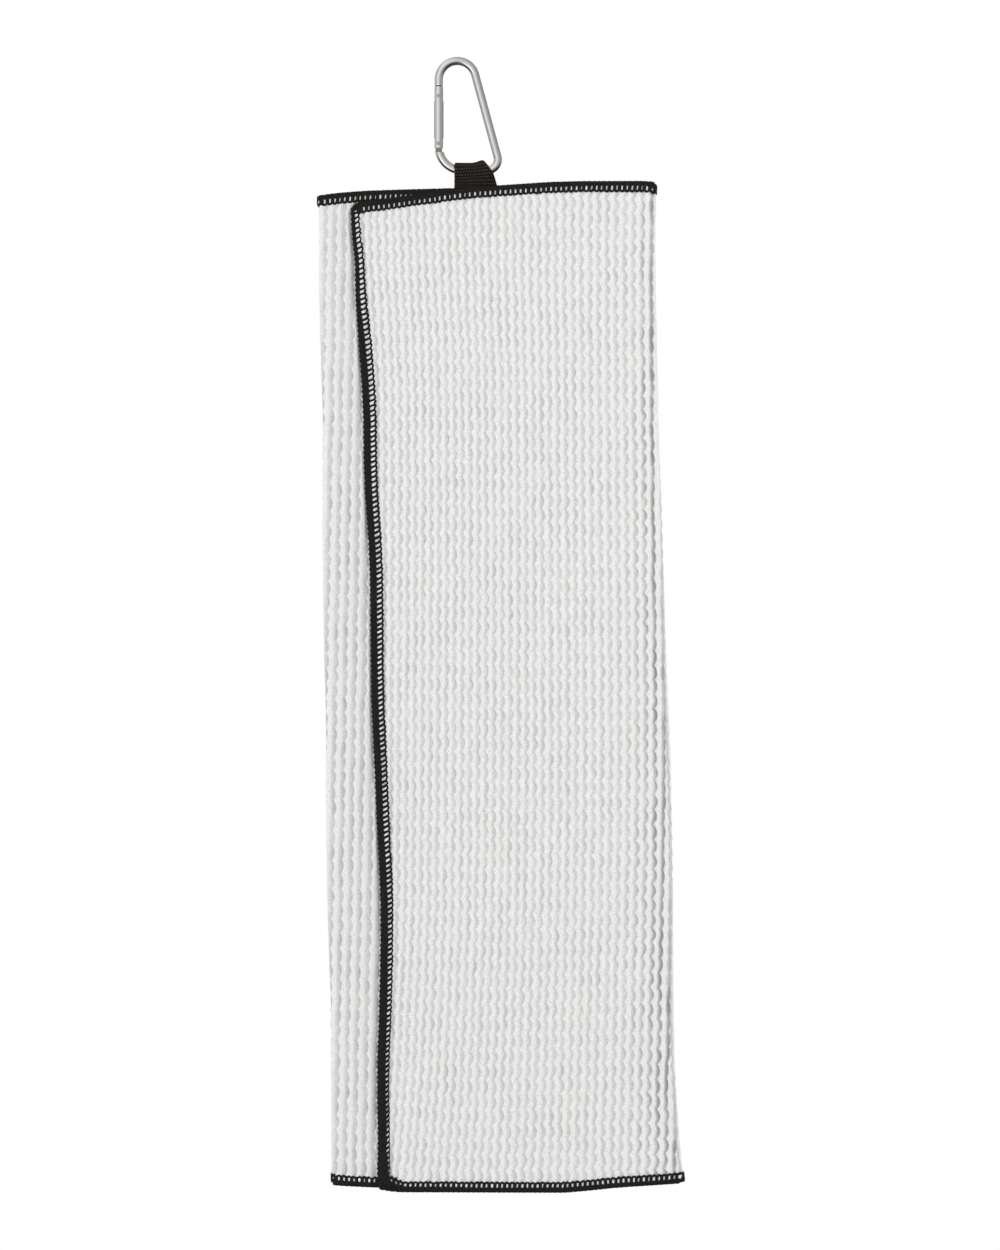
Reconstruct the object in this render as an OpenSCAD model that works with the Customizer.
// Tri-fold golf towel, hanging from a D-shaped snap hook.
// Frame: +Z up, the folded towel hangs in the XZ plane and its front faces -Y.
// Left is -X and right is +X, as seen from the front.
// The origin is the hang point, on the inside top of the hook's bow.
// Rest pose: towel folded in three, hook closed, everything hanging straight.

/* [Cloth] */
// thickness of one layer of waffle cloth
cloth_t = 2.2; // [1.8:0.1:2.4]
// distance between the mid planes of two folded layers
layer_gap = 4.4; // [4.2:0.1:4.8]
// width of the hidden back flap, fold to free edge
back_flap_w = 194; // [150:1:200]

/* [Edging] */
// overall thickness of the overlocked edging
edge_t = 3.0; // [2.8:0.1:3.2]
// depth of the edging on the top and bottom hems
edge_d = 5.8; // [4.5:0.1:7]
// depth of the edging on the free side hems
side_d = 7.4; // [5:0.1:8.5]

/* [Webbing loop] */
// webbing thickness
web_t = 1.0; // [0.8:0.05:1.0]
// inner radius of the loop round the hook's bottom bar
web_r = 3.95; // [3.9:0.05:4.1]
// length of webbing sewn to the middle panel, below its top edge
tail_l = 12; // [8:0.5:20]

/* [Hook] */
// rod diameter of the hook
rod_d = 5.0; // [4.6:0.1:5.2]
// outside diameter of the gate tube
gate_d = 5.8; // [5.6:0.1:6]
// bore of the gate tube
gate_bore = 4.2; // [4.1:0.05:4.4]
// thickness of the flattened tongues that enter the gate
tongue_t = 2.4; // [2:0.1:2.4]
// gate hinge rivet diameter
hinge_pin_d = 1.8; // [1.5:0.1:2]
// gate latch rivet diameter
latch_pin_d = 1.6; // [1.4:0.1:1.8]
// spring wire diameter
wire_d = 0.4; // [0.3:0.05:0.5]

/* [Hidden] */
$fn = 48;

rivet_grey = [0.6, 0.6, 0.6];
trim_black = [0.13, 0.12, 0.12];
cloth_white = [0.93, 0.93, 0.92];

// hook centre line; points are [x, z]
bow_r = 11.27;
bow_at = [0, rod_d / 2 - bow_r];
corner_r = 6.7;             // bottom right corner
corner_at = [17.97, -57.49];
bar_z = corner_at[1] - corner_r;    // centre of the bottom bar
heel_r = 14.46;             // bottom left bend
heel_at = [3.17, bar_z + heel_r];
gate_x = bow_at[0] - bow_r; // centre of the gate
nose_z = -12.4;             // end of the round rod at the nose
heel_z = -52.9;             // end of the round rod at the heel
// the spine touches the bow and corner circles on their right;
// this is the angle of its outward normal
bow_to_corner = corner_at - bow_at;
spine_angle = atan2(bow_to_corner[1], bow_to_corner[0])
            + acos((bow_r - corner_r) / norm(bow_to_corner));
// straight runs are a hair thinner than the bends and reach a little into them
run_d = rod_d - 0.03;
reach = 0.3;

// gate
hinge_z = -47.75;
latch_z = -18.75;
gate_top = -13.05;
gate_bot = -50.5;
tongue_w = 4;
tongue_top = hinge_z + 2.2; // top of the heel tongue
slot_w = 2.6;               // gate slots that take the tongues
notch_d = latch_pin_d + 0.4;
bore_end = hinge_z + 17;    // blind end of the lower bore
overcut = 1;                // how far a cut starts outside the gate's lower end
open_h = 20;                // height of a cut that runs out of the gate's top

// plunger and spring
plunger_z = tongue_top + 0.06;  // lower face of the plunger head
plunger_head_h = 2.4;
coil_r = 1.6;
coil_turns = 7;
turn_steps = 20;
wire_sides = 8;
coil_gap = 0.03;            // air at each end of the spring

// fold lines: top and bottom points, [x, z]
left_fold = [[-82.1, -80.0], [-73.3, -682.2]];
right_fold = [[117.7, -72.0], [132.7, -680.6]];
fold_r = layer_gap / 2;     // radius of each fold's mid line
fold_trim = 0.04;           // taken off a quarter fold's end and its outer limit
fold_skin = 0.03;           // a fold is this much thinner on each face
fold_overlap = 0.1;         // how far a fold reaches into its panel

// webbing
flex_z = -71.8;             // where the webbing bends above the hem
leg_end = flex_z + 2.1;
tail_top = flex_z - 1.5;
tail_bot = left_fold[0][1] + 4 - tail_l;
tail_y = edge_t / 2 + 0.05; // inner face of the sewn webbing
web_left = -1.7;
loop_right = 20.8;          // right edge round the bar
web_right = 23.7;           // right edge at the tails
arch_steps = 32;
stitches = 10;
stitch_pitch = 2.15;
stitch_size = [1.5, 0.16, 0.5];

// towel outline: heights above and below everything on the towel
z_hi = -55;
z_lo = -705;
// hem lines as [x, z], left to right, each reaching past the panel's sides;
// each pair is the top hem, then the bottom hem
middle_hems = [
    [[-110, -80.95], [160, -70.49]],
    [[-110, -682.45], [160, -680.42]]];
front_hems = [
    [[-110, -100.9], [-64.2, -83.2], [-60.5, -81.8], [-1.7, -75.0], [26, -73.3], [160, -71.8]],
    [[-110, -686.0], [65, -686.0], [88, -684.6], [160, -678.6]]];
back_hems = [
    [[-110, -81.8], [160, -75.3]],
    [[-110, -681.0], [160, -679.1]]];
// free edge of the front flap as [x, z], top to bottom
front_side = [[-63.9, z_hi], [-63.9, -90], [-62.6, -131], [-56.4, -241],
              [-52.2, -433], [-46.6, -560], [-47.8, -683], [-47.8, z_lo]];

lap = 0.9;                  // how far the edging stands proud of the cloth's cut edge
slack = 0.02;               // air between the cloth and the edging's slot
clear = -25;                // a hem margin that cuts nothing

// ================= helpers =================
function reversed(points) = [for (i = [len(points) - 1:-1:0]) points[i]];
function shifted(points, by) = [for (p = points) p + by];

// an outline in XZ, extruded to thickness t about the plane at y
module xz(t, y = 0)
    translate([0, y + t / 2, 0]) rotate([90, 0, 0]) linear_extrude(t) children();

// ================= hook =================
function on_circle(centre, r, angle) = centre + r * [cos(angle), sin(angle)];

module bend(centre, r, from, to)
    translate([centre[0], 0, centre[1]]) rotate([90, 0, 0]) rotate([0, 0, from])
        rotate_extrude(angle = to - from, $fn = 96)
            translate([r, 0]) circle(d = rod_d, $fn = 40);

module run(length) cylinder(d = run_d, h = length, $fn = 40);

module run_between(start, end) {
    span = end - start;
    translate([start[0], 0, start[1]]) rotate([0, atan2(span[0], span[1]), 0])
        translate([0, 0, -reach]) run(norm(span) + 2 * reach);
}

module tongue(t, z0, z1)
    translate([gate_x - tongue_w / 2, -t / 2, z0]) cube([tongue_w, t, z1 - z0]);

// a pin along Y, centred on the gate
module cross_pin(z, d, length)
    translate([gate_x, length / 2, z]) rotate([90, 0, 0]) cylinder(d = d, h = length);

module carabiner_body() color([0.72, 0.73, 0.74]) difference() {
    union() {
        translate([gate_x, 0, nose_z]) run(bow_at[1] + reach - nose_z);
        bend(bow_at, bow_r, spine_angle, 180);
        run_between(on_circle(corner_at, corner_r, spine_angle),
                    on_circle(bow_at, bow_r, spine_angle));
        bend(corner_at, corner_r, -90, spine_angle);
        translate([heel_at[0] - reach, 0, bar_z]) rotate([0, 90, 0])
            run(corner_at[0] - heel_at[0] + 2 * reach);
        // the round rod stops flat at the heel
        difference() {
            bend(heel_at, heel_r, 180, 270);
            translate([gate_x - 5, -5, heel_z]) cube([10, 10, 10]);
        }
        // heel tongue, then the slightly thinner nose tongue
        tongue(tongue_t, heel_z - 1.5, tongue_top);
        tongue(tongue_t - 0.2, latch_z - 2.8, nose_z + 1);
    }
    // bore that runs on the hinge rivet
    cross_pin(hinge_z, hinge_pin_d + 0.1, 8);
    // notch that catches the latch rivet, open to the inside
    cross_pin(latch_z, notch_d, 8);
    translate([gate_x, -4, latch_z - notch_d / 2]) cube([4, 8, notch_d]);
}

module gate_bore_cut(z, h) translate([gate_x, 0, z]) cylinder(d = gate_bore, h = h);
module gate_slot_cut(z, h) translate([gate_x - 5, -slot_w / 2, z]) cube([10, slot_w, h]);

module carabiner_gate() color([0.78, 0.79, 0.8]) difference() {
    translate([gate_x, 0, gate_bot]) cylinder(d = gate_d, h = gate_top - gate_bot);
    // lower bore, for the plunger and spring, and upper bore, for the nose
    gate_bore_cut(gate_bot - overcut, bore_end - gate_bot + overcut);
    gate_bore_cut(latch_z - 4, open_h);
    // slots for the heel tongue and the nose tongue
    gate_slot_cut(gate_bot - overcut, hinge_z + 3.4 - gate_bot + overcut);
    gate_slot_cut(latch_z - 3.3, open_h);
    // rivet holes
    cross_pin(hinge_z, hinge_pin_d, 10);
    cross_pin(latch_z, latch_pin_d, 10);
}

// a pin across the gate, with a flat head at each end
module rivet(d, z) translate([gate_x, 0, z]) rotate([90, 0, 0]) {
    cylinder(d = d, h = gate_d + 0.1, center = true);
    for (side = [0, 1]) mirror([0, 0, side])
        translate([0, 0, gate_d / 2 + 0.02]) cylinder(d = d + 0.7, h = 0.3);
}
module gate_hinge_rivet() color(rivet_grey) rivet(hinge_pin_d, hinge_z);
module gate_latch_rivet() color(rivet_grey) rivet(latch_pin_d, latch_z);

// head just above the heel tongue, with a stem up into the spring
module gate_plunger() color([0.5, 0.5, 0.5]) translate([gate_x, 0, plunger_z]) {
    cylinder(d = gate_bore - 0.2, h = plunger_head_h);
    translate([0, 0, plunger_head_h - 0.1]) cylinder(d = 2.2, h = 4);
}

// one section of the spring wire, at an angle round the coil and a height
function wire_ring(angle, z) = [
    for (i = [0:wire_sides - 1])
        let (turn = 360 * i / wire_sides, out = coil_r + wire_d / 2 * cos(turn))
        [out * cos(angle), out * sin(angle), z + wire_d / 2 * sin(turn)]];

// open coil spring between the plunger head and the blind end
module gate_spring() color([0.45, 0.45, 0.47]) {
    n = wire_sides;
    steps = turn_steps * coil_turns;
    z0 = plunger_z + plunger_head_h + wire_d / 2 + coil_gap;
    z1 = bore_end - wire_d / 2 - coil_gap;
    points = [for (k = [0:steps]) each wire_ring(360 * k / turn_steps, z0 + (z1 - z0) * k / steps)];
    sides = [for (k = [0:steps - 1]) for (i = [0:n - 1]) each [
        [k * n + i, (k + 1) * n + i, k * n + (i + 1) % n],
        [k * n + (i + 1) % n, (k + 1) * n + i, (k + 1) * n + (i + 1) % n]]];
    caps = [[for (i = [0:n - 1]) i], [for (i = [0:n - 1]) steps * n + n - 1 - i]];
    translate([gate_x, 0, 0]) polyhedron(points, concat(sides, caps), convexity = 10);
}

// ================= webbing =================
function arch(r) = [
    for (i = [0:arch_steps])
        [-r * cos(180 * i / arch_steps), r * sin(180 * i / arch_steps)]];

// section as [y, z] about the bar's axis: half ring on top, two legs below
module loop_profile() {
    leg_z = leg_end - bar_z;
    polygon(concat(
        [[-tail_y - web_t, leg_z]], arch(web_r + web_t), [[tail_y + web_t, leg_z]],
        [[tail_y, leg_z]], reversed(arch(web_r)), [[-tail_y, leg_z]]));
}

// the loop widens to the right below the bar
module webbing_loop() color(trim_black) intersection() {
    translate([web_left, 0, bar_z]) rotate([90, 0, 90])
        linear_extrude(web_right - web_left) loop_profile();
    xz(20) polygon([[web_left - 1, bar_z + 9], [loop_right, bar_z + 9],
                    [loop_right, bar_z - 1.6], [web_right + 0.01, leg_end + 0.6],
                    [web_right + 0.01, leg_end - 1], [web_left - 1, leg_end - 1]]);
}

// one tail on each face of the middle panel
module webbing_tails() color(trim_black)
    for (y = [-tail_y - web_t, tail_y]) translate([web_left, y, tail_bot])
        cube([web_right - web_left, web_t, tail_top - tail_bot]);

// a row of stitches across each tail
module loop_bartack_thread() color([0.2, 0.2, 0.2])
    for (side = [-1, 1]) for (i = [0:stitches - 1])
        translate([web_left + 2.2 + i * stitch_pitch,
                   side * (tail_y + web_t + 0.11), tail_bot + 2])
            cube(stitch_size, center = true);

// ================= towel =================
// x of a fold line at height z, and its lean from +Z
function fold_x(fold, z) = fold[1][0]
    + (fold[0][0] - fold[1][0]) * (z - fold[1][1]) / (fold[0][1] - fold[1][1]);
function lean(fold) = atan2(fold[0][0] - fold[1][0], fold[0][1] - fold[1][1]);

// a sheet's side is its x at z_hi and at z_lo
function fold_side(fold) = [fold_x(fold, z_hi), fold_x(fold, z_lo)];
function upright(x) = [x, x];
module sheet(t, y, left, right)
    xz(t, y) polygon([[left[0], z_hi], [right[0], z_hi], [right[1], z_lo], [left[1], z_lo]]);

// quarter of a fold, its outer side cut flat near the mid line's apex.
// side = 1 for the right fold, -1 for the left; half = 1 for the +Y half
// of the fold, -1 for the -Y half
module quarter_fold(t, side, half) {
    fold = side > 0 ? right_fold : left_fold;
    inner = fold_r - t / 2;
    outer = fold_r + t / 2;
    reach_x = fold_r - fold_trim;
    translate([fold[1][0], -side * fold_r, fold[1][1]]) rotate([0, lean(fold), 0])
        translate([0, 0, -24]) linear_extrude(650) intersection() {
            difference() {
                circle(r = outer - fold_skin);
                circle(r = inner + fold_skin);
            }
            translate([side > 0 ? -fold_overlap : -reach_x,
                       half > 0 ? fold_trim : -(outer + 1)])
                square([reach_x + fold_overlap, outer + 1 - fold_trim]);
        }
}

// a layer of thickness t for each panel, with its share of the folds
module middle_layer(t) {
    sheet(t, 0, fold_side(left_fold), fold_side(right_fold));
    quarter_fold(t, side = 1, half = 1);
    quarter_fold(t, side = -1, half = -1);
}
module front_layer(t) {
    sheet(t, -layer_gap, upright(-90), fold_side(right_fold));
    quarter_fold(t, side = 1, half = -1);
}
module back_layer(t) {
    sheet(t, layer_gap, fold_side(left_fold), upright(150));
    quarter_fold(t, side = -1, half = 1);
}

// everything between two hems, less a margin at the top and one at the bottom
module between(hems, top, bottom)
    xz(40) polygon(concat(shifted(hems[0], [0, -top]), reversed(shifted(hems[1], [0, bottom]))));
// the same, with the margins given for the named hem and the one opposite
module from_hem(hems, end, margin, opposite)
    between(hems, end == "top" ? margin : opposite, end == "top" ? opposite : margin);

// everything on the cloth's side of a flap's free edge, less a margin
module front_inside(margin)
    xz(40) polygon(concat(shifted(front_side, [margin, 0]), [[170, z_lo], [170, z_hi]]));
module back_inside(margin)
    sheet(40, 0, upright(-120), fold_side(left_fold) + upright(back_flap_w - margin));

// cloth grown by s; with s = slack it is the slot in the side edging
module front_cloth(s = 0) intersection() {
    front_layer(cloth_t + s);
    between(front_hems, lap - s, lap - s);
    front_inside(lap - s);
}
module back_cloth(s = 0) intersection() {
    back_layer(cloth_t + s);
    between(back_hems, lap - s, lap - s);
    back_inside(lap - s);
}
module middle_panel() color(cloth_white) intersection() {
    middle_layer(cloth_t);
    between(middle_hems, lap, lap);
}
module front_flap() color(cloth_white) front_cloth();
module back_flap() color(cloth_white) back_cloth();

// edging on the "top" or "bottom" hem, with a slot for the cloth.
// children: the edging's layer, then the slot's layer
module hem_edging(hems, end) color(trim_black) difference() {
    intersection() {
        children(0);
        from_hem(hems, end, 0, clear);
    }
    from_hem(hems, end, edge_d, 2 * clear);
    intersection() {
        children(1);
        from_hem(hems, end, lap - slack, 2 * clear);
    }
}
module middle_edging(end) hem_edging(middle_hems, end) {
    middle_layer(edge_t);
    middle_layer(cloth_t + slack);
}
// on the flaps it stops at the side edging
module front_edging(end) hem_edging(front_hems, end) {
    intersection() {
        front_layer(edge_t);
        front_inside(side_d + slack);
    }
    front_layer(cloth_t + slack);
}
module back_edging(end) hem_edging(back_hems, end) {
    intersection() {
        back_layer(edge_t);
        back_inside(side_d + slack);
    }
    back_layer(cloth_t + slack);
}
module middle_top_edging() middle_edging("top");
module middle_bottom_edging() middle_edging("bottom");
module front_top_edging() front_edging("top");
module front_bottom_edging() front_edging("bottom");
module back_top_edging() back_edging("top");
module back_bottom_edging() back_edging("bottom");

module front_side_edging() color(trim_black) difference() {
    intersection() {
        sheet(edge_t, -layer_gap, upright(-90), upright(-20));
        between(front_hems, 0, 0);
        front_inside(0);
    }
    front_inside(side_d);
    front_cloth(slack);
}
module back_side_edging() color(trim_black) difference() {
    intersection() {
        sheet(edge_t, layer_gap, upright(60), upright(150));
        between(back_hems, 0, 0);
        back_inside(0);
    }
    back_inside(side_d);
    back_cloth(slack);
}

// ================= the assembly =================
carabiner_body();
carabiner_gate();
gate_hinge_rivet();
gate_latch_rivet();
gate_plunger();
gate_spring();
webbing_loop();
webbing_tails();
loop_bartack_thread();
middle_panel();
front_flap();
back_flap();
middle_top_edging();
middle_bottom_edging();
front_top_edging();
front_bottom_edging();
front_side_edging();
back_top_edging();
back_bottom_edging();
back_side_edging();
